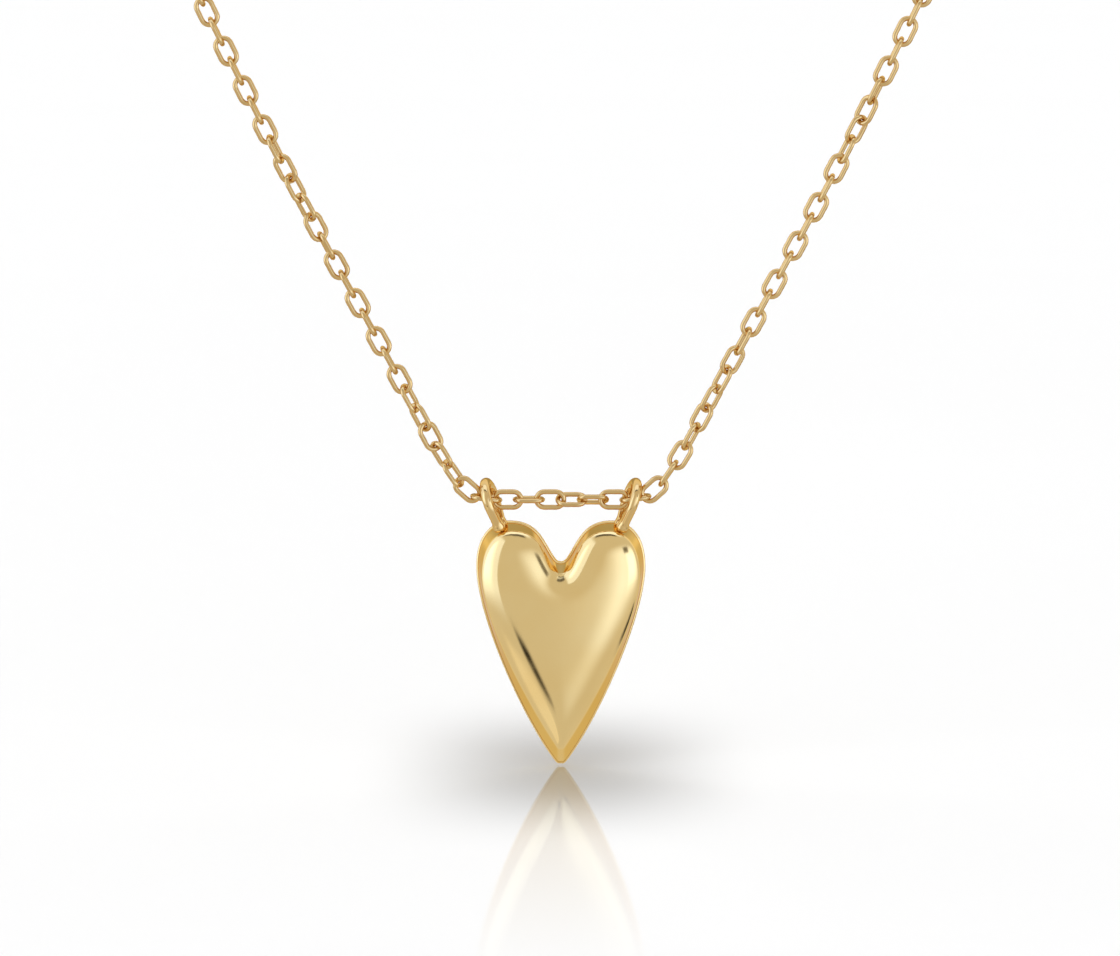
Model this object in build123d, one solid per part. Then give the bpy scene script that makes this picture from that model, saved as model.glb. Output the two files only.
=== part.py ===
from build123d import *

import os
from math import atan2, cos, degrees, radians, sin

# A pendant necklace, hanging as it is worn: +Z up, the front faces -Y, sizes in millimetres.
# The origin is the middle of the neck opening, at the height where the chain lies on the neck.

# ---------------------------------------------------------------- driving dimensions

# cable chain: oval links of round wire
WIRE = 0.30
LINK_LENGTH = 1.93
LINK_WIDTH = 1.24
LINK_SLACK = WIRE / 10  # gap between two linked wires where the chain hangs in tension
BRIDGE_SLACK = 2 * LINK_SLACK  # the same gap in the loose links between the two bails

# the run of the chain
BRIDGE_LINKS = 8
BAIL_LINK_TILT = 8.0  # degrees that the link inside each bail rises outwards
TIERS = 6
TIER_LINKS = 8  # links in one leg of one tier
NECK_HALF_WIDTH = 54.0
NECK_DEPTH = 98.0  # from the front plane to the nape
SIDE_SETBACK = 43.0  # from the front plane to the widest place
SIDE_SLOPE = 16.0  # degrees that the chain still rises at its widest place
SIDE_HEIGHT = 96.0  # chain at the side of the neck, above the pendant's hinge line
NAPE_HEIGHT = 106.0
NECK_NODES = 6  # groups of links in each half of the neck chain
# how far the neck chain keeps its direction at each end of its curves, as a share of the way
LEG_SWEEP = 0.385
SIDE_SWEEP = 0.55
NAPE_SWEEP = 0.55

# heart pendant
HEART_WIDTH = 10.1
HEART_HEIGHT = 14.85
HEART_DROP = 1.45  # from the hinge line down to the top of the lobes
HEART_BACK = 1.15  # back face, behind the chain's plane
WALL_DEPTH = 2.0  # back face to the crease round the front
WALL_DRAFT = 0.36  # how far the wall leans in from the seam to the crease
DOME_HEIGHT = 0.85
DOME_STEPS = [(0.5, 0.38), (1.3, 0.74), (2.4, 1.0)]  # in from the crease, share of the height
SHELL_WALL = 0.45
BACK_PLATE = 0.35
SEAM_STEP = 0.10  # how far the shell's rim stands in from the back plate's edge

# guides of the heart's outline, as shares (of its half width, of its height)
NOTCH_DROP = 0.18
NOTCH_GUIDE = (0.19, 0.061)
LOBE_INNER_GUIDE = 0.197
LOBE_TOP = 0.603
LOBE_OUTER_GUIDE = 0.79
SHOULDER_GUIDE = 0.135
WIDEST = 0.185
FLANK_GUIDE = 0.208
TIP_GUIDE = (0.403, 0.162)
# the notch and the tip move in further than the sides do
NOTCH_INSET = 1.4
TIP_INSET = 2.2

# bails: wire loops soldered to the lobes
BAIL_WIRE = 0.60
BAIL_RADIUS = 1.05  # centre line of the loop's round top
BAIL_PLACE = 0.27  # of the way along the chain link that hangs inside the bail
BAIL_LEAN = 19.0  # degrees outwards
BAIL_TOE = 10.0  # degrees that the front of each loop turns outwards
BAIL_ARC_END = 25.0  # degrees below the loop's centre where its round top ends
BAIL_FOOT_SUNK = 0.25  # past the lobe's top, before it is cut to the lobe
SOLDER_BEAD = 0.38

# spring-ring clasp and the rings on each side of it
RING_SLACK = 0.04
JUMP_RADIUS = 1.05
JUMP_WIRE = 0.45
END_RING_RADIUS = 1.25
END_RING_WIRE = 0.50
CLASP_RADIUS = 2.2
CLASP_TUBE = 1.10
CLASP_BORE = 0.76
EYELET_RADIUS = 0.62
EYELET_WIRE = 0.40
EYELET_SUNK = 0.10
BOLT_ROD = 0.66
PIN_ROD = 0.26
PIN_REACH = 0.85  # from the bolt's centre line to the middle of the thumb ball
THUMB_BALL = 0.56
SLOT_CLEARANCE = 0.04
CUT_MARGIN = 0.1  # by which a cut passes the surface that it opens

# places round the clasp, in degrees down from the end ring's side
SOCKET_ANGLE = 8.0
BOLT_TIP_ANGLE = 12.0
GAP_START_ANGLE = 25.0
GAP_END_ANGLE = 75.0
PIN_ANGLE = 95.0
BOLT_TAIL_ANGLE = 150.0
BOLT_TRAVEL = 62.0
BORE_END_ANGLE = 300.0
SPRING_GAP_ANGLE = 1.0  # left free at each end of the spring

# ---------------------------------------------------------------- worked-out sizes

PITCH = LINK_LENGTH - 2 * WIRE - LINK_SLACK
BRIDGE_PITCH = LINK_LENGTH - 2 * WIRE - BRIDGE_SLACK
HINGE_Y = -NECK_DEPTH / 2
HINGE_Z = -SIDE_HEIGHT
HALF = HEART_WIDTH / 2

# centre-line direction of the leg's links, in degrees above level, by place up the leg
LEG_RISE = [(1, 42), (2, 56), (4, 62), (12, 61.5), (20, 63.5), (28, 65), (48, 65)]

# how far each link is turned from the plain alternation of face-on and edge-on links
LEFT_DRIFT = [(0, 0), (1, -6), (4, -70), (7, 0), (13, 0), (20, 90), (48, 90)]
RIGHT_DRIFT = [(0, 0), (3, -15), (10, -90), (18, -90), (23, 0), (48, 0)]
BRIDGE_DRIFT = [(0, 0), (3, 0), (6, 90), (7, 90)]


def between(table, place):
    """Straight-line value of a table of (place, value) pairs, held level past its ends."""
    if place <= table[0][0]:
        return table[0][1]
    for (start, low), (end, high) in zip(table, table[1:]):
        if place <= end:
            return low + (high - low) * (place - start) / (end - start)
    return table[-1][1]


def save(name, solids):
    """Writes one sub-part; several solids are separate pieces of one kind."""
    shape = solids[0] if len(solids) == 1 else Compound(solids)
    export_step(shape, f"parts/{name}.step")


def spun(plane, angle):
    """The plane turned about its own normal, in degrees."""
    x_dir = plane.x_dir * cos(radians(angle)) + plane.y_dir * sin(radians(angle))
    return Plane(plane.origin, x_dir=x_dir, z_dir=plane.z_dir)


def ring(radius, wire, plane, start=0.0, turn=360.0):
    """Round rod bent to a ring, or to an arc of it, about the plane's normal."""
    return Solid.make_torus(radius, wire / 2, spun(plane, start), 0, 360, turn)


# ---------------------------------------------------------------- one chain link


def oval_link():
    """Oval ring of round wire, long way along X and lying in the XY plane."""
    end_radius = (LINK_WIDTH - WIRE) / 2
    half_side = (LINK_LENGTH - LINK_WIDTH) / 2
    right_end = ring(end_radius, WIRE, Plane((half_side, 0, 0)), -90, 180)
    left_end = ring(end_radius, WIRE, Plane((-half_side, 0, 0)), 90, 180)
    link = right_end + left_end
    for side in (-end_radius, end_radius):
        start = Plane((-half_side, side, 0), x_dir=(0, 1, 0), z_dir=(1, 0, 0))
        link = link + Solid.make_cylinder(WIRE / 2, 2 * half_side, start)
    return link.solid()


LINK = oval_link()


def links_along(contacts, facing, rolls):
    """One link between each two contact points, turned from facing by its roll in degrees.

    facing is carried along the run without twisting; returns the links and its last direction.
    """
    links = []
    for start, end, roll in zip(contacts, contacts[1:], rolls):
        along = (end - start).normalized()
        facing = (facing - along * facing.dot(along)).normalized()
        normal = facing.rotate(Axis((0, 0, 0), along), roll)
        place = Plane((start + end) / 2, x_dir=along, z_dir=normal)
        links.append(LINK.moved(Location(place)))
    return links, facing


# ---------------------------------------------------------------- bridge between the bails

FRONT = Vector(0, -1, 0)


def bridge_contacts():
    """Contact points from the left leg to the right leg; the end links rise outwards."""
    level = BRIDGE_LINKS // 2 - 1
    points = [Vector(i * BRIDGE_PITCH, HINGE_Y, HINGE_Z) for i in range(-level, level + 1)]
    out = BRIDGE_PITCH * cos(radians(BAIL_LINK_TILT))
    up = BRIDGE_PITCH * sin(radians(BAIL_LINK_TILT))
    return [points[0] + Vector(-out, 0, up)] + points + [points[-1] + Vector(out, 0, up)]


BRIDGE = bridge_contacts()


def make_bridge():
    rolls = [(0 if i % 2 else 90) + between(BRIDGE_DRIFT, i) for i in range(BRIDGE_LINKS)]
    links, _ = links_along(BRIDGE, FRONT, rolls)
    for number, link in enumerate(links, start=1):
        save(f"bridge_link_{number}", [link])


# ---------------------------------------------------------------- front legs, in tiers

LEG_LINKS = TIERS * TIER_LINKS
LEFT, RIGHT = -1, 1
SIDES = {"left": (LEFT, LEFT_DRIFT), "right": (RIGHT, RIGHT_DRIFT)}


def leg_contacts(side):
    """Contact points up one leg, from the bridge's outer contact."""
    points = [BRIDGE[0] if side == LEFT else BRIDGE[-1]]
    for number in range(1, LEG_LINKS + 1):
        rise = radians(between(LEG_RISE, number))
        points.append(points[-1] + Vector(side * cos(rise), 0, sin(rise)) * PITCH)
    return points


def leg_rolls(drift):
    return [(0 if n % 2 else 90) + between(drift, n) for n in range(1, LEG_LINKS + 1)]


def make_tiers():
    """Tier 1 hangs from the neck chain and the last tier carries the bridge."""
    for name, (side, drift) in SIDES.items():
        links, _ = links_along(leg_contacts(side), FRONT, leg_rolls(drift))
        for tier in range(TIERS):
            top = LEG_LINKS - tier * TIER_LINKS
            save(f"{name}_front_chain_{tier + 1}", links[top - TIER_LINKS : top])


# ---------------------------------------------------------------- clasp layout along the nape

NAPE = Vector(0, NECK_DEPTH / 2, NAPE_HEIGHT - SIDE_HEIGHT)


def clasp_layout():
    """Places along X of the pieces that close the chain, centred on the nape.

    Each contact lies midway between two linked wires, so that a wire's centre is half its
    thickness and half the slack away from it.
    """
    gap = RING_SLACK / 2
    jump = -(JUMP_WIRE / 2 + gap) + JUMP_RADIUS
    eyelet_contact = jump + JUMP_RADIUS - JUMP_WIRE / 2 - gap
    eyelet = eyelet_contact - EYELET_WIRE / 2 - gap + EYELET_RADIUS
    clasp = eyelet + EYELET_RADIUS - EYELET_SUNK + CLASP_RADIUS + CLASP_TUBE / 2
    ring_contact = clasp + CLASP_RADIUS - CLASP_TUBE / 2 - gap
    end_ring = ring_contact - END_RING_WIRE / 2 - gap + END_RING_RADIUS
    span = end_ring + END_RING_RADIUS - END_RING_WIRE / 2 - gap
    places = {"jump": jump, "eyelet": eyelet, "clasp": clasp, "end_ring": end_ring}
    return {name: x - span / 2 for name, x in places.items()}, span


PLACES, CLASP_SPAN = clasp_layout()

# ---------------------------------------------------------------- neck chain


def neck_path(side):
    """From the top of the leg, round the side of the neck, to the clasp at the nape."""
    contacts = leg_contacts(side)
    top = contacts[-1]
    widest = Vector(side * NECK_HALF_WIDTH, HINGE_Y + SIDE_SETBACK, 0)
    clasp_end = NAPE + Vector(side * CLASP_SPAN / 2, 0, 0)
    up_leg = (top - contacts[-2]).normalized()
    slope = radians(SIDE_SLOPE)
    backwards = Vector(0, cos(slope), sin(slope))
    # each curve leaves and arrives along these directions for a share of the way it covers
    front_sweep = LEG_SWEEP * (widest - top).length
    side_sweep = SIDE_SWEEP * (NECK_DEPTH - SIDE_SETBACK)
    nape_sweep = NAPE_SWEEP * (NECK_HALF_WIDTH - CLASP_SPAN / 2)
    front = [top, top + up_leg * front_sweep, widest - backwards * front_sweep, widest]
    outwards = Vector(side * nape_sweep, 0, 0)
    back = [widest, widest + backwards * side_sweep, clasp_end + outwards, clasp_end]
    return Wire([Bezier(*front), Bezier(*back)])


def make_neck_chain():
    for name, (side, drift) in SIDES.items():
        path = neck_path(side)
        count = round(path.length / PITCH)
        step = path.length / count
        contacts = [
            path.position_at(i * step, position_mode=PositionMode.LENGTH)
            for i in range(count + 1)
        ]
        first = between(drift, LEG_LINKS)
        rolls = [(0 if n % 2 else 90) + first for n in range(LEG_LINKS + 1, LEG_LINKS + count + 1)]
        # the last link stands upright, square to the flat-lying ring that it holds
        _, facing = links_along(contacts, FRONT, rolls)
        along = (contacts[-1] - contacts[-2]).normalized()
        level = facing.cross(Vector(0, 1, 0)).dot(along)
        wanted = degrees(atan2(level, facing.dot(Vector(0, 1, 0))))
        short = (wanted - rolls[-1] + 90) % 180 - 90
        rolls = [roll + short * (i + 1) / count for i, roll in enumerate(rolls)]
        links, _ = links_along(contacts, FRONT, rolls)
        for group in range(NECK_NODES):
            low = group * count // NECK_NODES
            high = (group + 1) * count // NECK_NODES
            save(f"{name}_neck_chain_{group + 1}", links[low:high])


# ---------------------------------------------------------------- heart pendant


def heart_face(inset, depth):
    """Pointed heart with its face to -Y, drawn in from the full outline by inset.

    Its heights are below the top of the lobes, and depth is behind the chain's plane.
    """
    half, top = HALF - inset, -inset
    notch = -NOTCH_DROP * HEART_HEIGHT - NOTCH_INSET * inset
    tip = -HEART_HEIGHT + TIP_INSET * inset
    widest = top - WIDEST * HEART_HEIGHT
    mid, crown, out = (0, notch), (LOBE_TOP * half, top), (half, widest)
    notch_guide = (NOTCH_GUIDE[0] * half, notch + NOTCH_GUIDE[1] * HEART_HEIGHT)
    shoulder_guide = (half, widest + SHOULDER_GUIDE * HEART_HEIGHT)
    flank_guide = (half, widest - FLANK_GUIDE * HEART_HEIGHT)
    tip_guide = (TIP_GUIDE[0] * half, tip + TIP_GUIDE[1] * HEART_HEIGHT)
    curves = [
        [mid, notch_guide, (LOBE_INNER_GUIDE * half, top), crown],
        [crown, (LOBE_OUTER_GUIDE * half, top), shoulder_guide, out],
        [out, flank_guide, tip_guide, (0, tip)],
    ]
    edges = []
    for curve in curves:
        for side in (LEFT, RIGHT):
            points = [
                Vector(side * x, HINGE_Y + depth, HINGE_Z - HEART_DROP + z) for x, z in curve
            ]
            edges.append(Bezier(*points))
    return Face(Wire(edges))


def heart_body(inset, back, front, dome):
    """Drafted wall from back to front, then a crowned front; inset shrinks the whole of it."""
    steps = [(0.0, back), (WALL_DRAFT, front)]
    steps += [(WALL_DRAFT + further, front - share * dome) for further, share in DOME_STEPS]
    wires = [heart_face(inset + draft, depth).outer_wire() for draft, depth in steps]
    return Solid.make_loft(wires, ruled=True)


def make_heart():
    """Hollow front shell, and a flat back plate soldered to its rim."""
    seam = HEART_BACK - BACK_PLATE
    crease = HEART_BACK - WALL_DEPTH
    outside = heart_body(SEAM_STEP, seam, crease, DOME_HEIGHT)
    inside = heart_body(SEAM_STEP + SHELL_WALL, seam, crease + SHELL_WALL, DOME_HEIGHT)
    shell = (outside - inside).solid()
    plate = Solid.extrude(heart_face(0, HEART_BACK), Vector(0, -BACK_PLATE, 0))
    save("heart_front", [shell])
    save("heart_back", [plate])
    return outside, plate


# ---------------------------------------------------------------- bails


def make_bail(name, side, heart, plate):
    """Wire loop round the end link of the bridge, its two feet soldered to the lobe."""
    lean, toe = radians(BAIL_LEAN), radians(BAIL_TOE)
    up = Vector(side * sin(lean), 0, cos(lean))
    forward = Vector(side * sin(toe), -cos(toe), 0)
    normal = forward.cross(up).normalized()
    inner, outer = (BRIDGE[1], BRIDGE[0]) if side == LEFT else (BRIDGE[-2], BRIDGE[-1])
    centre = Vector(inner.X + BAIL_PLACE * (outer.X - inner.X), HINGE_Y, HINGE_Z)
    loop = Plane(centre, x_dir=up.cross(normal), z_dir=normal)
    end = radians(BAIL_ARC_END)
    foot_height = (HEART_DROP + BAIL_FOOT_SUNK) / cos(lean)
    side_run = (foot_height - BAIL_RADIUS * sin(end)) / cos(end)
    bail = ring(BAIL_RADIUS, BAIL_WIRE, loop, -BAIL_ARC_END, 180 + 2 * BAIL_ARC_END)
    for across in (-1, 1):
        shoulder = (across * BAIL_RADIUS * cos(end), -BAIL_RADIUS * sin(end), 0)
        down = (-across * sin(end), -cos(end), 0)
        start = Plane(loop.from_local_coords(shoulder),
                      z_dir=loop.from_local_coords(down) - loop.origin)
        bail = bail + Solid.make_cylinder(BAIL_WIRE / 2, side_run, start)
        bail = bail + Solid.make_sphere(SOLDER_BEAD, Plane(start.origin + start.z_dir * side_run))
    bail = (bail - heart) - plate
    save(name, [max(bail.solids(), key=lambda solid: solid.volume)])


# ---------------------------------------------------------------- clasp and its rings


def make_clasp():
    """Spring ring: a bored tube ring with a gap, closed by a bent bolt on a coil spring."""
    places = {name: NAPE + Vector(x, 0, 0) for name, x in PLACES.items()}
    save("jump_ring", [ring(JUMP_RADIUS, JUMP_WIRE, Plane(places["jump"]))])
    save("end_ring", [ring(END_RING_RADIUS, END_RING_WIRE, Plane(places["end_ring"]))])

    # the clasp's plane stands upright, and its angles run down from +X
    upright = Plane(places["clasp"], x_dir=(1, 0, 0), z_dir=(0, 1, 0))
    eyelet = Plane(places["eyelet"], x_dir=(1, 0, 0), z_dir=(0, 1, 0))
    body = ring(CLASP_RADIUS, CLASP_TUBE, upright) + ring(EYELET_RADIUS, EYELET_WIRE, eyelet)
    bore_turn = BORE_END_ANGLE - SOCKET_ANGLE
    body = body - ring(CLASP_RADIUS, CLASP_BORE, upright, SOCKET_ANGLE, bore_turn)
    gap_turn = GAP_END_ANGLE - GAP_START_ANGLE
    body = body - ring(CLASP_RADIUS, CLASP_TUBE + CUT_MARGIN, upright, GAP_START_ANGLE, gap_turn)
    slot_width = PIN_ROD + 2 * SLOT_CLEARANCE
    margin = degrees(slot_width / 2 / CLASP_RADIUS)
    slot_start = PIN_ANGLE - margin
    slot_turn = BOLT_TRAVEL + 2 * margin
    slot_plane = spun(upright.offset(-slot_width / 2), slot_start)
    slot = Solid.make_cylinder(CLASP_RADIUS + CLASP_TUBE, slot_width, slot_plane, slot_turn)
    slot = slot - Solid.make_cylinder(CLASP_RADIUS, slot_width, slot_plane, slot_turn)
    save("clasp_ring", [(body - slot).solid()])

    bolt = ring(CLASP_RADIUS, BOLT_ROD, upright, BOLT_TIP_ANGLE, BOLT_TAIL_ANGLE - BOLT_TIP_ANGLE)
    spoke = spun(upright, PIN_ANGLE)
    pin_start = Plane(spoke.from_local_coords((CLASP_RADIUS, 0, 0)), z_dir=spoke.x_dir)
    bolt = bolt + Solid.make_cylinder(PIN_ROD / 2, PIN_REACH, pin_start)
    bolt = bolt + Solid.make_sphere(THUMB_BALL / 2, Plane(pin_start.origin + spoke.x_dir * PIN_REACH))
    save("clasp_bolt", [bolt.solid()])

    # the coil spring fills this sleeve behind the bolt
    spring_start = BOLT_TAIL_ANGLE + SPRING_GAP_ANGLE
    spring_turn = BORE_END_ANGLE - SPRING_GAP_ANGLE - spring_start
    spring = ring(CLASP_RADIUS, BOLT_ROD, upright, spring_start, spring_turn)
    spring = spring - ring(CLASP_RADIUS, BOLT_ROD / 2, upright, spring_start, spring_turn)
    save("clasp_spring", [spring.solid()])


# ---------------------------------------------------------------- build

os.makedirs("parts", exist_ok=True)
make_bridge()
make_tiers()
make_neck_chain()
heart, plate = make_heart()
make_bail("left_bail", LEFT, heart, plate)
make_bail("right_bail", RIGHT, heart, plate)
make_clasp()
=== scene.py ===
"""Pendant necklace: polished gold heart on a fine cable chain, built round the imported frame."""

from math import cos, pi, radians, sin

import bmesh
import bpy
import numpy as np
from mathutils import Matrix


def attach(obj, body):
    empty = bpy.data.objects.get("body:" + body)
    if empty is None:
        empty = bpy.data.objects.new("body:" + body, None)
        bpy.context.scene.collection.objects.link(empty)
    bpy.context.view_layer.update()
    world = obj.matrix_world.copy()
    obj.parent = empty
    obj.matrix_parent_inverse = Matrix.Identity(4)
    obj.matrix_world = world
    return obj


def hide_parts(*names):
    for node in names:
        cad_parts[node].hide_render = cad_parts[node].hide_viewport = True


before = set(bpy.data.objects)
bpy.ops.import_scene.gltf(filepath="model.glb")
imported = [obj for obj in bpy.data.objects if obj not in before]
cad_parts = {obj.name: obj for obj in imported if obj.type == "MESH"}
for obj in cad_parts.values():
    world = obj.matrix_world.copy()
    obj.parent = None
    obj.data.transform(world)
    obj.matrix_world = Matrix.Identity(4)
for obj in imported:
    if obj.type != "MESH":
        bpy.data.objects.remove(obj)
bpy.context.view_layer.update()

MM = 0.001

# ---------------------------------------------------------------- camera
# A long lens looks slightly down on the heart and the lowest part of the chain, from straight in front.

CAMERA_RISE = radians(10.0)
CAMERA_DISTANCE = 555 * MM
LOOK_AT = np.array([-0.05, -49.0, -94.7]) * MM

camera = bpy.data.objects.new("camera", bpy.data.cameras.new("camera"))
bpy.context.scene.collection.objects.link(camera)
camera.data.lens = 300
camera.data.sensor_width = 36
camera.data.clip_start = 0.05
camera.data.clip_end = 10.0
camera.location = LOOK_AT + CAMERA_DISTANCE * np.array([0, -cos(CAMERA_RISE), sin(CAMERA_RISE)])
camera.rotation_euler = (pi / 2 - CAMERA_RISE, 0, 0)
bpy.context.scene.camera = camera
bpy.context.scene.view_settings.view_transform = "Standard"

# ---------------------------------------------------------------- cable chain
# Fine cable chain of brass plated with yellow gold: round wire is wound into oval links, each closed
# and soldered through the one before it, so that every second link lies across its neighbours.

WIRE = 0.30 * MM
LINK_LENGTH = 1.93 * MM
LINK_WIDTH = 1.24 * MM
LINK_FLAT = 0.96  # the rollers leave the wire a little thinner across the link's face
LINK_STEPS, WIRE_STEPS = 12, 6


def node_points(name):
    """Every corner point of a CAD node, one row of three numbers each, in metres."""
    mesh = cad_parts[name].data
    points = np.empty(len(mesh.vertices) * 3, np.float32)
    mesh.vertices.foreach_get("co", points)
    return points.reshape(-1, 3).astype(float)


LINK_POINTS = len(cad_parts["bridge_link_1"].data.vertices)


def link_places(name):
    """Centre and three directions (long way, wide way, thin way) of each link of a run.

    All the links have as many points. The points spread least along the thin way and most
    along the long way, so those are the outer directions of their spread; the centre is the
    middle of their extent along the three.
    """
    parts = node_points(name).reshape(-1, LINK_POINTS, 3)
    rough = parts.mean(1)
    away = parts - rough[:, None]
    _, found = np.linalg.eigh(np.einsum("nki,nkj->nij", away, away))
    long_way, wide_way = found[:, :, 2], found[:, :, 1]
    ways = np.stack([long_way, wide_way, np.cross(long_way, wide_way)], 1)
    reach = np.einsum("nki,nji->nkj", away, ways)
    middle = (reach.max(1) + reach.min(1)) / 2
    return rough + np.einsum("nj,nji->ni", middle, ways), ways


def evened(points):
    """The same closed grid, moved so that its smoothed surface passes where the points were.

    A smoothed grid passes a sixth of each neighbour and four sixths of the point itself; this
    solves that balance round both ways of the grid.
    """
    for way in (0, 1):
        one = np.eye(points.shape[way])
        weights = (4 * one + np.roll(one, 1, 0) + np.roll(one, -1, 0)) / 6
        points = np.moveaxis(np.tensordot(np.linalg.inv(weights), points, (1, way)), 0, way)
    return points


def oval_link():
    """Closed grid of one link: a round section carried along an oval with straight sides.

    The right half runs from the middle of the lower side, round the end, to the middle of the
    upper side: on the end the direction is the length run over the bend's radius, and past a
    quarter turn the line goes straight. The left half is the right half turned half round.
    """
    bend = (LINK_WIDTH - WIRE) / 2
    side = LINK_LENGTH - LINK_WIDTH
    half_run = side + pi * bend
    run = ((np.arange(LINK_STEPS // 2) + 0.5) / (LINK_STEPS // 2) - 0.5) * half_run
    turn = np.clip(run / bend, -pi / 2, pi / 2)
    past = np.abs(run) - np.abs(turn) * bend
    out = np.stack([np.cos(turn), np.sin(turn), 0 * turn], -1)
    line = out * bend + np.stack([side / 2 - past, 0 * turn, 0 * turn], -1)
    line, out = np.concatenate([line, -line]), np.concatenate([out, -out])
    round_way = (np.arange(WIRE_STEPS) + 0.5) / WIRE_STEPS * 2 * pi
    outward = np.cos(round_way)[None, :, None] * out[:, None]
    upward = np.sin(round_way)[None, :, None] * np.array([0, 0, LINK_FLAT])
    return evened(line[:, None] + (outward + upward) * WIRE / 2)


def quads(index):
    """Four-cornered faces between neighbouring rows and columns of a grid of point numbers."""
    corners = [index[:-1, :-1], index[1:, :-1], index[1:, 1:], index[:-1, 1:]]
    return np.stack(corners, -1).reshape(-1, 4).tolist()


def wrapped(index, rows=False):
    """The grid of point numbers with its first column (and row) again at its end."""
    index = np.concatenate([index, index[:, :1]], 1)
    return np.concatenate([index, index[:1]], 0) if rows else index


def linear(hex_colour):
    """sRGB hex colour to the linear values a shader takes."""
    srgb = np.array([int(hex_colour[i : i + 2], 16) / 255 for i in (1, 3, 5)])
    plain = np.where(srgb <= 0.04045, srgb / 12.92, ((srgb + 0.055) / 1.055) ** 2.4)
    return (*plain.tolist(), 1.0)


def add(tree, kind, values=None, links=None, **settings):
    """Adds a node with its settings, socket values and links from other nodes' sockets."""
    node = tree.nodes.new(kind)
    for name, value in settings.items():
        setattr(node, name, value)
    for socket, value in (values or {}).items():
        node.inputs[socket].default_value = value
    for socket, source in (links or {}).items():
        tree.links.new(source, node.inputs[socket])
    return node


EDGE_TINT = "#EED09A"  # gold stays yellow where it is seen almost edge-on


def polished_gold(name, pale, deep, smooth, rough, marks_per_mm, mark_depth):
    """Yellow gold plate over pressed or drawn brass, polished before and after plating.

    The plate's tone wanders between two close yellows over a few millimetres, the polish is
    glassier in some places than in others, and the polishing wheel leaves fine marks.
    """
    material = bpy.data.materials.new(name)
    material.use_nodes = True
    tree = material.node_tree
    tree.nodes.clear()
    place = add(tree, "ShaderNodeTexCoord").outputs["Object"]
    tone = add(
        tree, "ShaderNodeTexNoise", {"Scale": 0.35 / MM, "Detail": 2.0}, {"Vector": place}
    )
    colour = add(
        tree,
        "ShaderNodeMix",
        {"A": linear(pale), "B": linear(deep)},
        {"Factor": tone.outputs["Fac"]},
        data_type="RGBA",
    )
    polish = add(
        tree, "ShaderNodeTexNoise", {"Scale": 1.3 / MM, "Detail": 3.0}, {"Vector": place}
    )
    roughness = add(
        tree,
        "ShaderNodeMapRange",
        {"From Min": 0.3, "From Max": 0.7, "To Min": smooth, "To Max": rough},
        {"Value": polish.outputs["Fac"]},
    )
    stretch = add(
        tree,
        "ShaderNodeMapping",
        {"Scale": (marks_per_mm / MM, marks_per_mm / MM, 0.2 * marks_per_mm / MM)},
        {"Vector": place},
    )
    marks = add(
        tree, "ShaderNodeTexNoise", {"Scale": 1.0, "Detail": 2.0}, {"Vector": stretch.outputs[0]}
    )
    relief = add(
        tree,
        "ShaderNodeBump",
        {"Strength": 1.0, "Distance": mark_depth},
        {"Height": marks.outputs["Fac"]},
    )
    shader = add(
        tree,
        "ShaderNodeBsdfPrincipled",
        {"Metallic": 1.0, "Specular Tint": linear(EDGE_TINT)},
        {
            "Base Color": [s for s in colour.outputs if s.type == "RGBA"][0],
            "Roughness": roughness.outputs["Result"],
            "Normal": relief.outputs["Normal"],
        },
    )
    add(tree, "ShaderNodeOutputMaterial", None, {"Surface": shader.outputs["BSDF"]})
    return material


# Drawn wire tumbled bright: a soft polish, a little duller than the heart's, with short draw marks
# 0.1 mm apart; finer ones would not show.
link_gold = polished_gold("tumbled_gold_wire", "#E2C084", "#D4AE70", 0.07, 0.16, 10.0, 0.0012 * MM)


def add_piece(name, points, faces, material, body, nodes, smoothing=0):
    """Makes a mesh piece from its points and faces, rides it on its body and stands it for nodes."""
    mesh = bpy.data.meshes.new(name)
    mesh.from_pydata(points.reshape(-1, 3).tolist(), [], faces)
    shell = bmesh.new()
    shell.from_mesh(mesh)
    bmesh.ops.recalc_face_normals(shell, faces=shell.faces)
    shell.to_mesh(mesh)
    shell.free()
    mesh.shade_smooth()
    mesh.materials.append(material)
    piece = bpy.data.objects.new(name, mesh)
    bpy.context.scene.collection.objects.link(piece)
    if smoothing:
        modifier = piece.modifiers.new("smooth wire", "SUBSURF")
        modifier.levels = smoothing
        modifier.render_levels = smoothing
    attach(piece, body)
    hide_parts(*nodes)
    return piece


LINK = oval_link()


def add_links(node, body):
    """All the links of one run of chain, each the same oval turned and moved to its place."""
    centres, ways = link_places(node)
    points = centres[:, None, None] + np.einsum("abk,nki->nabi", LINK, ways)
    index = np.arange(LINK_STEPS * WIRE_STEPS).reshape(LINK_STEPS, WIRE_STEPS)
    one = np.array(quads(wrapped(index, rows=True)))
    faces = (one + np.arange(len(centres))[:, None, None] * index.size).reshape(-1, 4).tolist()
    add_piece("links_" + node, points, faces, link_gold, body, [node], smoothing=2)


for number in range(1, 9):
    add_links(f"bridge_link_{number}", "bridge")
for side in ("left", "right"):
    for number in range(1, 7):
        add_links(f"{side}_front_chain_{number}", f"front_tier_{number}")
        add_links(f"{side}_neck_chain_{number}", "neck_chain")

# ---------------------------------------------------------------- heart pendant
# Hollow puffed heart: a stamped gold front with a crowned face and a drafted wall, soldered to a flat
# back plate whose edge stands just proud of it, then ground, polished and buffed to a mirror.

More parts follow.
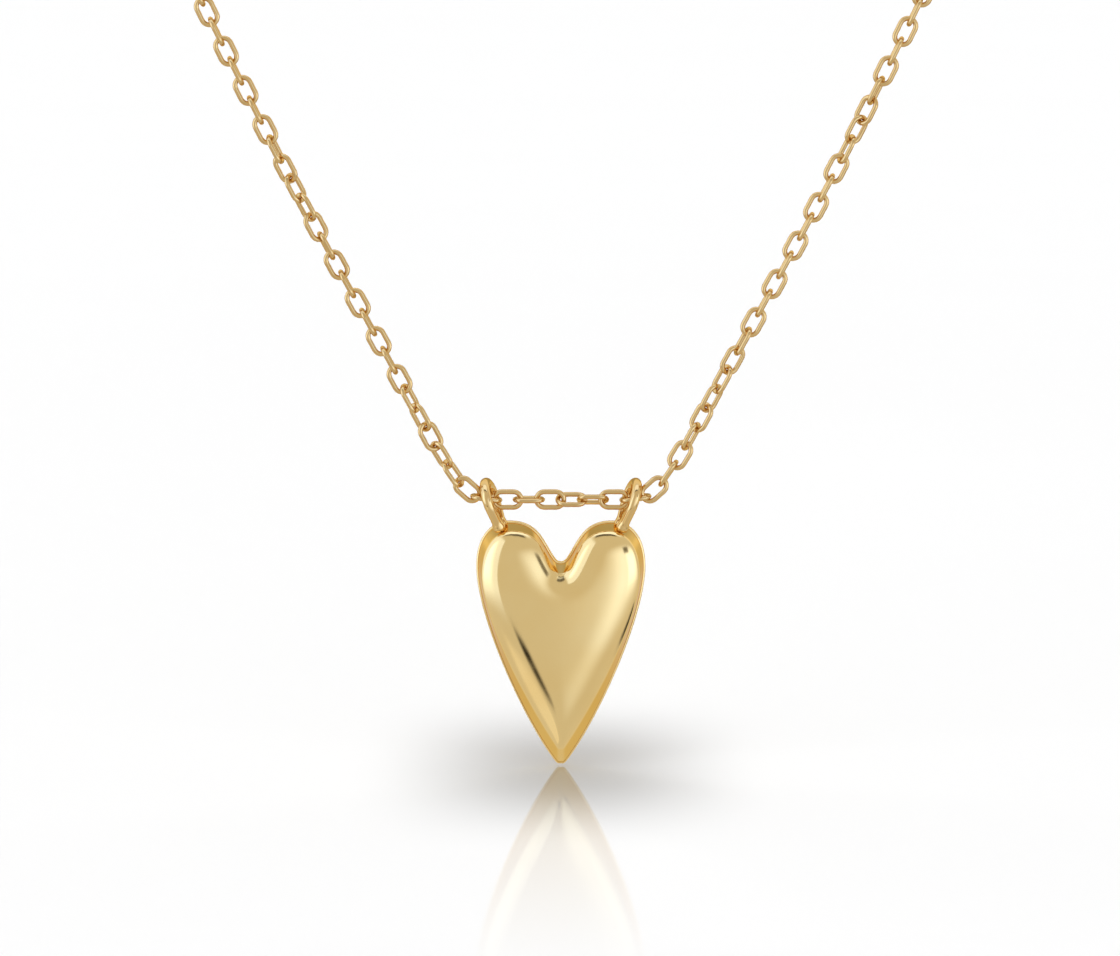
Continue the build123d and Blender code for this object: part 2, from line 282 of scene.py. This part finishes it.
HEART_HALF = 5.05 * MM
HEART_HEIGHT = 14.85 * MM
HEART_TOP = -97.45 * MM
PLATE_BACK = -47.85 * MM
PLATE_FRONT = -48.20 * MM
CREASE = -49.85 * MM
SHOULDER_RISE = 0.66 * MM
SHOULDER_WIDTH = 2.1 * MM
SHOULDER_FULLNESS = 2.5
DOME_RISE = 0.28 * MM
CROWN = SHOULDER_RISE + DOME_RISE
CROWN_CENTRE = -5.2 * MM  # below the lobes' tops
CORNER_FADE = 34.0  # points along the line over which a corner is spread, at the centre
CORNER_ROOM = 0.45  # a damped row keeps this share of the rows' spacing from the crease
CORNER_BLEND = 0.06 * MM
OVAL_HALF = 4.2 * MM  # the oval that the innermost rows take
OVAL_RISE = 5.6 * MM
CREASE_SHARE = 0.975  # where the crease's rounding meets the crown
WALL_EASE = 0.05 * MM
SEAM_STEP = 0.10 * MM
TIP_EASE = 0.20 * MM  # what rounding takes off the point
CURVE_STEPS = (32, 28, 60)  # notch to lobe top, lobe top to widest place, widest place to tip
# shares of the heart's height
NOTCH_DROP = 0.18
WIDEST_DROP = 0.185
NOTCH_LIFT = 0.061  # guide over the notch
LOBE_GUIDE = 0.135  # guide over the widest place
FLANK_GUIDE = 0.208  # guide under the widest place
POINT_GUIDE = 0.162  # guide over the point
# shares of the half width
NOTCH_OUT = 0.19
LOBE_IN = 0.197  # guide on the notch's side of the lobe's top
LOBE_TOP = 0.603
LOBE_OUT = 0.79  # guide on the outer side of the lobe's top
POINT_OUT = 0.403
CORNER_SPREAD = 4.0  # points over which rounding acts at the notch, and at the tip
TIP_SPREAD = 2.5
# how the crease lies inside the outline
CREASE_INSET = 0.34 * MM
CREASE_TOP = 0.32 * MM
CREASE_NOTCH = 0.48 * MM
CREASE_TIP = 1.08 * MM
CREASE_SLIM = 0.28 * MM


def heart_line(half, top, notch, tip, slim):
    """Closed line of a pointed heart, from the notch down the left side and up the right.

    Each side is three cubic curves, each the sum of its four guide points weighted by
    (1-t)^3, 3(1-t)^2 t, 3(1-t) t^2 and t^3. The two corners are rounded by averaging.
    """
    wide = top - WIDEST_DROP * HEART_HEIGHT
    notch_guide = (NOTCH_OUT * half, notch + NOTCH_LIFT * HEART_HEIGHT)
    flank_guide = (half - 0.4 * slim, wide - FLANK_GUIDE * HEART_HEIGHT)
    point_guide = (POINT_OUT * half - slim, tip + POINT_GUIDE * HEART_HEIGHT)
    guides = [
        [(0, notch), notch_guide, (LOBE_IN * half, top)],
        [(LOBE_TOP * half, top), (LOBE_OUT * half, top), (half, wide + LOBE_GUIDE * HEART_HEIGHT)],
        [(half, wide), flank_guide, point_guide],
    ]
    ends = [guides[1][0], guides[2][0], (0, tip)]
    side = []
    for guide, end, steps in zip(guides, ends, CURVE_STEPS):
        t = (np.arange(steps) / steps)[:, None]
        a, b, c, d = (np.array(point) for point in (*guide, end))
        side.append((1 - t) ** 3 * a + 3 * (1 - t) ** 2 * t * b + 3 * (1 - t) * t**2 * c + t**3 * d)
    side = np.concatenate([*side, [[0, tip]]])
    line = np.concatenate([side * (-1, 1), side[-2:0:-1]])
    place = np.arange(len(line))
    turn = len(side) - 1
    near = np.exp(-((((place + turn) % (2 * turn)) - turn) / CORNER_SPREAD) ** 2)
    near_tip = np.exp(-(((place - turn) / TIP_SPREAD) ** 2))
    even = sum(np.roll(line, shift, 0) for shift in range(-4, 5)) / 9
    weight = np.maximum(near, near_tip)[:, None]
    return line * (1 - weight) + even * weight


def inwards(line, step):
    """The line moved a small step into the heart, square to its own run."""
    run = np.roll(line, -1, 0) - np.roll(line, 1, 0)
    run = run / np.linalg.norm(run, axis=1)[:, None]
    return line + step * np.stack([-run[:, 1], run[:, 0]], -1)


def at_depth(line, depth):
    """Puts a flat line of x and height into place at one depth."""
    return np.stack([line[:, 0], np.full(len(line), depth), HEART_TOP + line[:, 1]], -1)


def shrunk(line, shares, depth):
    """Rows between the line and the heart's centre at one depth, by their share of the way out."""
    middle = np.array([0, CROWN_CENTRE])
    return [at_depth(middle + (line - middle) * share, depth) for share in shares]


def capped(rows, ends):
    """Points and faces of a closed skin: rows joined in turn, with a centre point at each end."""
    rows = np.stack(rows)
    index = np.arange(rows.shape[0] * rows.shape[1]).reshape(rows.shape[:2])
    faces = quads(wrapped(index))
    for row, centre in ((index[0], index.size), (index[-1], index.size + 1)):
        closed = np.append(row, row[0])
        faces += [(a, b, centre) for a, b in zip(closed[:-1].tolist(), closed[1:].tolist())]
    return np.concatenate([rows.reshape(-1, 3), ends]), faces


notch_depth = -NOTCH_DROP * HEART_HEIGHT
outer_line = heart_line(HEART_HALF, 0.0, notch_depth, -HEART_HEIGHT - TIP_EASE, 0.0)
rim_line = inwards(outer_line, SEAM_STEP)
crease_line = heart_line(
    HEART_HALF - CREASE_INSET,
    -CREASE_TOP,
    notch_depth - CREASE_NOTCH,
    CREASE_TIP - HEART_HEIGHT,
    CREASE_SLIM,
)


def crease_reach(line):
    """Soft distance of flat points from the crease line, without ridges between its two sides.

    It is the cube root of half pi over the sum, along the crease, of its run over distance^4,
    which is the true distance beside a straight crease.
    """
    ahead = np.roll(crease_line, -1, 0)
    share = np.arange(8)[None, :, None] / 8
    fine = (crease_line[:, None] * (1 - share) + ahead[:, None] * share).reshape(-1, 2)
    run = np.repeat(np.linalg.norm(ahead - crease_line, axis=1) / 8, 8)
    gap = np.hypot(line[:, None, 0] - fine[:, 0], line[:, None, 1] - fine[:, 1])
    return (pi / 2 / (run / gap**4).sum(1)) ** (1 / 3)


def crown_row(share):
    """One row of the crowned face, at its share of the way from the centre to the crease.

    The row's reach in each direction is the crease's with its short waves damped, the more so
    further in, and it passes to that of an oval, so that the rows stay even. A soft minimum, the
    log of the two added exponentials, keeps a damped row inside the crease at the notch. The
    face stands up by the shoulder, one less (one less the reach over its width) to the power of
    its fullness, and by a slight dome, one less the share squared.
    """
    away = crease_line - np.array([0, CROWN_CENTRE])
    reach_at_crease = np.linalg.norm(away, axis=1)
    direction = away / reach_at_crease[:, None]
    waves = np.fft.rfft(reach_at_crease)
    pitch = np.arange(len(waves)) * 2 * pi / len(away)
    reach = np.fft.irfft(waves * np.exp(-((pitch * CORNER_FADE * (1 - share)) ** 2) / 2), len(away))
    inside = reach_at_crease * (1 - CORNER_ROOM * (1 - share))
    reach = -CORNER_BLEND * np.logaddexp(-share * reach / CORNER_BLEND, -inside / CORNER_BLEND)
    oval = 1 / np.hypot(direction[:, 0] / OVAL_HALF, direction[:, 1] / OVAL_RISE)
    inner = 1 - share
    blend = inner * inner * (3 - 2 * inner)
    reach = reach * (1 - blend) + share * oval * blend
    line = np.array([0, CROWN_CENTRE]) + direction * reach[:, None]
    flat = np.clip(1 - crease_reach(line) / SHOULDER_WIDTH, 0, 1) ** SHOULDER_FULLNESS
    return at_depth(line, CREASE - SHOULDER_RISE * (1 - flat) - DOME_RISE * (1 - share**2))


# Mirror-polished gold plate: the glassiest surface of the piece, with buffing marks 0.2 mm apart
# that only soften the edges of what it mirrors.
heart_gold = polished_gold("mirror_polished_gold", "#F7DA9A", "#F2CE86", 0.07, 0.12, 5.0, 0.0006 * MM)


def heart_front():
    """Rows from the hidden back, round the rim, up the drafted wall, over the crease to the crown."""
    rows = shrunk(rim_line, (0.3, 0.7), PLATE_FRONT)
    for turn in np.linspace(0, pi / 2, 5):
        step = WALL_EASE * (1 - sin(turn))
        rows.append(at_depth(inwards(rim_line, step), PLATE_FRONT - WALL_EASE * (1 - cos(turn))))
    rim = at_depth(rim_line, PLATE_FRONT - WALL_EASE)
    crease = at_depth(crease_line, CREASE)
    rows += [rim + (crease - rim) * share for share in np.linspace(0.1, 0.94, 9)]
    last, shoulder = rows[-1], crown_row(CREASE_SHARE)
    for t in np.linspace(0.1, 1.0, 10):
        rows.append((1 - t) ** 2 * last + 2 * t * (1 - t) * crease + t * t * shoulder)
    rows += [crown_row(share) for share in CREASE_SHARE * np.cos(np.linspace(0, pi / 2, 44)[1:-1])]
    back = [0, PLATE_FRONT, HEART_TOP + CROWN_CENTRE]
    front = [0, CREASE - CROWN, HEART_TOP + CROWN_CENTRE]
    return capped(rows, [back, front])


PLATE_EASE = 0.11 * MM


def heart_back():
    """Rows from the middle of the back face, round the plate's eased edge, to its hidden front."""
    rows = shrunk(inwards(outer_line, PLATE_EASE), (0.25, 0.5, 0.75, 0.9, 1.0), PLATE_BACK)
    for turn in np.linspace(0, pi / 2, 6)[1:]:
        line = inwards(outer_line, PLATE_EASE * (1 - sin(turn)))
        rows.append(at_depth(line, PLATE_BACK - PLATE_EASE * (1 - cos(turn))))
    for turn in np.linspace(0, pi / 2, 6):
        line = inwards(outer_line, PLATE_EASE * (1 - cos(turn)))
        rows.append(at_depth(line, PLATE_FRONT + PLATE_EASE * (1 - sin(turn))))
    rows += shrunk(inwards(outer_line, PLATE_EASE), (0.8, 0.4), PLATE_FRONT)
    middle = HEART_TOP + CROWN_CENTRE
    return capped(rows, [[0, PLATE_BACK, middle], [0, PLATE_FRONT, middle]])


add_piece("heart_face", *heart_front(), heart_gold, "pendant", ["heart_front"])
add_piece("heart_back_plate", *heart_back(), heart_gold, "pendant", ["heart_back"])

# ---------------------------------------------------------------- bails
# Two loops of heavier round wire, bent round the chain's end links and soldered to the lobes; the
# solder leaves a small bright collar round each foot.

BAIL_WIRE = 0.60 * MM
BAIL_RADIUS = 1.05 * MM
BAIL_SPACING = 8.3 * MM
BAIL_HEIGHT = -96.0 * MM
BAIL_LEAN = radians(19.0)
BAIL_TOE = radians(10.0)
BAIL_ARC_END = radians(25.0)
BAIL_RUN = 1.50 * MM  # straight part of each foot
COLLAR = 0.10 * MM
WIRE_ROUND = 24


def swept(line, out, side, radius):
    """Round wire: each row is the line's point plus radius times (cosine of out + sine of side)."""
    round_way = np.arange(WIRE_ROUND) / WIRE_ROUND * 2 * pi
    ring = np.cos(round_way)[None, :, None] * out[:, None] + np.sin(round_way)[None, :, None] * side
    return line[:, None] + ring * radius[:, :, None]


def bail(side):
    """Wire loop in its own leaning plane: foot, round top and foot, thicker where the solder is."""
    up = np.array([side * sin(BAIL_LEAN), 0, cos(BAIL_LEAN)])
    forward = np.array([side * sin(BAIL_TOE), -cos(BAIL_TOE), 0])
    across = np.cross(forward, up)
    across = across / np.linalg.norm(across)
    level = np.cross(up, across)
    arc = np.linspace(-BAIL_ARC_END, pi + BAIL_ARC_END, 49)
    ends = (arc[0], arc[-1])
    foot = np.linspace(1, 0, 20, endpoint=False)[:, None] * BAIL_RUN
    first = np.array([cos(ends[0]), sin(ends[0])]) * BAIL_RADIUS
    last = np.array([cos(ends[1]), sin(ends[1])]) * BAIL_RADIUS
    down_first = np.array([sin(ends[0]), -cos(ends[0])])
    down_last = np.array([-sin(ends[1]), cos(ends[1])])
    flat = np.concatenate([
        first + foot * down_first,
        np.stack([np.cos(arc), np.sin(arc)], -1) * BAIL_RADIUS,
        last + foot[::-1] * down_last,
    ])
    centre = np.array([side * BAIL_SPACING / 2, -49.0 * MM, BAIL_HEIGHT])
    line = centre + flat[:, :1] * level + flat[:, 1:] * up
    run = np.gradient(line, axis=0)
    run = run / np.linalg.norm(run, axis=1)[:, None]
    out = np.cross(run, across)
    depth = np.concatenate([foot[:, 0], 0 * arc, foot[::-1, 0]])
    collar = COLLAR * np.exp(-(((depth - 0.88 * BAIL_RUN) / (0.16 * BAIL_RUN)) ** 2))
    wave = 1 + 0.12 * np.sin(np.arange(WIRE_ROUND) / WIRE_ROUND * 4 * pi + 1.0)
    radius = BAIL_WIRE / 2 + collar[:, None] * wave
    rows = swept(line, out, across, radius)
    first_end = line[0] + (line[0] - line[1]) * 0.2
    last_end = line[-1] + (line[-1] - line[-2]) * 0.2
    return capped(list(rows), [first_end, last_end])


# Bent wire polished by hand: nearly as bright as the heart, with draw marks 0.15 mm apart.
bail_gold = polished_gold("hand_polished_gold_wire", "#ECCB8C", "#E0B772", 0.07, 0.13, 7.0, 0.0008 * MM)

for name, side in (("left_bail", -1), ("right_bail", 1)):
    add_piece(name + "_loop", *bail(side), bail_gold, "pendant", [name])

# ---------------------------------------------------------------- clasp and its rings
# Spring-ring clasp at the nape with the jump ring and the end ring it closes through: pressed and
# soldered tube and wire, tumbled bright.

for name in ("jump_ring", "end_ring", "clasp_ring", "clasp_bolt", "clasp_spring"):
    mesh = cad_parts[name].data
    mesh.materials.clear()
    mesh.materials.append(bail_gold)

# ---------------------------------------------------------------- studio
# A pale glossy table, a soft light from above, and bright and dark cards round the piece that only
# reflections show. A screen that nothing shows holds light off the table under the point.

FLOOR_HEIGHT = -112.34 * MM
HEART_MIDDLE = np.array([0.0, -49.0, -104.0]) * MM
CARD_DISTANCE = 330 * MM
FLAG_DISTANCE = 250 * MM
DAYLIGHT = (0.86, 1.0, 1.35, 1)
WHITE = (1, 1, 1, 1)


def stage_mesh(name, points, faces, material):
    """Makes a mesh that belongs to the studio and not to the piece."""
    mesh = bpy.data.meshes.new(name)
    mesh.from_pydata(points.reshape(-1, 3).tolist(), [], faces)
    mesh.materials.append(material)
    thing = bpy.data.objects.new(name, mesh)
    bpy.context.scene.collection.objects.link(thing)
    return thing


def table_surface():
    """White acrylic sheet: matt white, with a clear mirror round the heart that fades with distance."""
    material = bpy.data.materials.new("white_acrylic_table")
    material.use_nodes = True
    tree = material.node_tree
    tree.nodes.clear()
    place = add(tree, "ShaderNodeTexCoord").outputs["Object"]
    matt = add(tree, "ShaderNodeBsdfDiffuse", {"Color": (0.9, 0.9, 0.9, 1)})
    clear = add(tree, "ShaderNodeBsdfGlossy", {"Color": (1, 1, 1, 1), "Roughness": 0.02})
    parts = add(tree, "ShaderNodeSeparateXYZ", None, {"Vector": place})
    strength = add(
        tree,
        "ShaderNodeMapRange",
        {"From Min": -112 * MM, "From Max": -49 * MM, "To Min": 0.0, "To Max": 0.32},
        {"Value": parts.outputs["Y"]},
        interpolation_type="SMOOTHSTEP",
    )
    behind = add(
        tree,
        "ShaderNodeMapRange",
        {"From Min": -20 * MM, "From Max": 60 * MM, "To Min": 1.0, "To Max": 0.0},
        {"Value": parts.outputs["Y"]},
        interpolation_type="SMOOTHSTEP",
    )
    share = add(
        tree,
        "ShaderNodeMath",
        None,
        {0: strength.outputs["Result"], 1: behind.outputs["Result"]},
        operation="MULTIPLY",
    )
    mixed = add(
        tree,
        "ShaderNodeMixShader",
        None,
        {0: share.outputs[0], 1: matt.outputs["BSDF"], 2: clear.outputs["BSDF"]},
    )
    add(tree, "ShaderNodeOutputMaterial", None, {"Surface": mixed.outputs["Shader"]})
    return material


half = 2.0
corners = np.array([[-half, -half, 0], [half, -half, 0], [half, half, 0], [-half, half, 0]])
table = stage_mesh("table", corners + [0, 0, FLOOR_HEIGHT], [(0, 1, 2, 3)], table_surface())
table.visible_glossy = False

world = bpy.data.worlds.new("studio")
bpy.context.scene.world = world
world.use_nodes = True
tree = world.node_tree
tree.nodes.clear()
ray = add(tree, "ShaderNodeLightPath")
direction = add(tree, "ShaderNodeTexCoord").outputs["Generated"]
parts = add(tree, "ShaderNodeSeparateXYZ", None, {"Vector": direction})
behind = add(
    tree,
    "ShaderNodeMapRange",
    {"From Min": -0.5, "From Max": 0.6, "To Min": 0.70, "To Max": 0.78},
    {"Value": parts.outputs["Y"]},
    interpolation_type="SMOOTHSTEP",
)
above = add(
    tree,
    "ShaderNodeMapRange",
    {"From Min": -0.04, "From Max": 0.08},
    {"Value": parts.outputs["Z"]},
    interpolation_type="SMOOTHSTEP",
)
back_half = add(
    tree,
    "ShaderNodeMapRange",
    {"From Min": 0.0, "From Max": 0.5},
    {"Value": parts.outputs["Y"]},
    interpolation_type="SMOOTHSTEP",
)
back_wall = add(
    tree,
    "ShaderNodeMath",
    None,
    {0: above.outputs["Result"], 1: back_half.outputs["Result"]},
    operation="MULTIPLY",
)
room = add(
    tree,
    "ShaderNodeMix",
    {"B": 1.0},
    {"Factor": back_wall.outputs[0], "A": behind.outputs["Result"]},
)
mirrored = add(tree, "ShaderNodeBackground", {"Color": (1, 1, 1, 1)}, {"Strength": room.outputs[0]})
soft_fill = add(tree, "ShaderNodeBackground", {"Color": (1, 1, 1, 1), "Strength": 0.28})
open_white = add(tree, "ShaderNodeBackground", {"Color": (1, 1, 1, 1), "Strength": 1.0})
unseen = add(
    tree,
    "ShaderNodeMixShader",
    None,
    {0: ray.outputs["Is Glossy Ray"], 1: soft_fill.outputs[0], 2: mirrored.outputs[0]},
)
either = add(
    tree,
    "ShaderNodeMixShader",
    None,
    {0: ray.outputs["Is Camera Ray"], 1: unseen.outputs[0], 2: open_white.outputs[0]},
)
add(tree, "ShaderNodeOutputWorld", None, {"Surface": either.outputs[0]})


def panel(name, centre, right, up, strength, soft, seen_by):
    """Flat panel about a centre, right and up being its half sides, its glow eased at its edges.

    soft is the share of each half side that is eased. seen_by names what it acts on: the
    mirroring metal, or the matt table through the shadow that the panel throws.
    """
    u, v = np.meshgrid(np.linspace(-1, 1, 33), np.linspace(-1, 1, 33))
    points = centre + u[..., None] * right + v[..., None] * up
    edges = [np.clip((1 - np.abs(way)) / ease, 0, 1) for way, ease in zip((u, v), soft)]
    glow_share = np.prod([edge * edge * (3 - 2 * edge) for edge in edges], axis=0)
    material = bpy.data.materials.new(name)
    material.use_nodes = True
    tree = material.node_tree
    tree.nodes.clear()
    glow = add(tree, "ShaderNodeAttribute", attribute_name="ease").outputs["Fac"]
    nothing = add(tree, "ShaderNodeBsdfTransparent")
    colour = DAYLIGHT if strength > 1 else WHITE
    light = add(tree, "ShaderNodeEmission", {"Color": colour, "Strength": strength})
    layers = {0: glow, 1: nothing.outputs[0], 2: light.outputs[0]}
    mixed = add(tree, "ShaderNodeMixShader", None, layers)
    add(tree, "ShaderNodeOutputMaterial", None, {"Surface": mixed.outputs[0]})
    thing = stage_mesh(name, points, quads(np.arange(u.size).reshape(u.shape)), material)
    ease = thing.data.attributes.new("ease", "FLOAT", "POINT")
    ease.data.foreach_set("value", glow_share.ravel().astype(np.float32))
    thing.visible_camera = False
    thing.visible_diffuse = False
    thing.visible_glossy = seen_by == "metal"
    thing.visible_shadow = seen_by == "table"


def card(name, azimuth, rise, wide, tall, strength, soft):
    """Large card facing the heart, placed by direction, dark ones standing in front of bright ones.

    azimuth runs to the right from straight in front, rise is above level, and wide and tall are
    the angles that it covers, all in degrees.
    """
    distance = FLAG_DISTANCE if strength < 0.5 else CARD_DISTANCE
    a, e = radians(azimuth), radians(rise)
    back = np.array([sin(a) * cos(e), -cos(a) * cos(e), sin(e)])
    right = np.array([cos(a), sin(a), 0])
    up = np.cross(right, -back)
    size = distance * np.tan(np.radians([wide / 2, tall / 2]))
    centre = HEART_MIDDLE + back * distance
    panel(name, centre, right * size[0], up * size[1], strength, soft, "metal")


card("left_softbox", -76, 15, 74, 82, 1.25, (0.06, 0.3))
card("left_core", -72, 13, 44, 70, 2.0, (0.7, 0.6))
card("lower_left_card", -56, -40, 40, 22, 0.9, (0.5, 0.5))
card("right_softbox", 42, -1, 92, 70, 1.4, (1.0, 0.7))
card("right_core", 62, 2, 44, 50, 1.9, (0.8, 0.8))
card("top_softbox", 0, 84, 80, 40, 1.4, (0.5, 0.5))
card("left_flag", -29, -25, 21, 12, 0.03, (0.8, 0.8))
card("right_flag", 91, -28, 18, 11, 0.05, (0.5, 0.5))
card("notch_flag", 53, 20, 20, 16, 0.2, (0.7, 0.7))
card("upper_flag", -4, 66, 56, 9, 0.08, (0.4, 0.5))

# A small dark card close behind the heart, low enough to tone its top edge alone.
BACK_FLAG_CENTRE = np.array([0, -22.0, -86.0]) * MM
BACK_FLAG_RIGHT = np.array([22.0, 0, 0]) * MM
BACK_FLAG_UP = np.array([0, 0, 10.0]) * MM
panel("back_flag", BACK_FLAG_CENTRE, BACK_FLAG_RIGHT, BACK_FLAG_UP, 0.52, (0.3, 0.3), "metal")

# A soft screen, 2 mm over the table, that holds the overhead light off it round the point.
SHADE_CENTRE = np.array([-0.4, -49.0, -110.3]) * MM
SHADE_RIGHT = np.array([12.5, 0, 0]) * MM
SHADE_BACK = np.array([0, 23.0, 0]) * MM
panel("shade", SHADE_CENTRE, SHADE_RIGHT, SHADE_BACK, 0.0, (1.0, 1.0), "table")


def sky_light(name, tilt, lean, spread, strength):
    """Broad light from far overhead, tilted towards the front or the back, that casts a soft shadow."""
    light = bpy.data.lights.new(name, "SUN")
    light.energy = strength
    light.angle = radians(spread)
    thing = bpy.data.objects.new(name, light)
    thing.rotation_euler = (radians(tilt), radians(lean), 0)
    bpy.context.scene.collection.objects.link(thing)
    thing.visible_glossy = False
    return thing


sky_light("front_overhead", -30, -8, 36, 1.52)
sky_light("back_overhead", 30, -8, 36, 1.52)
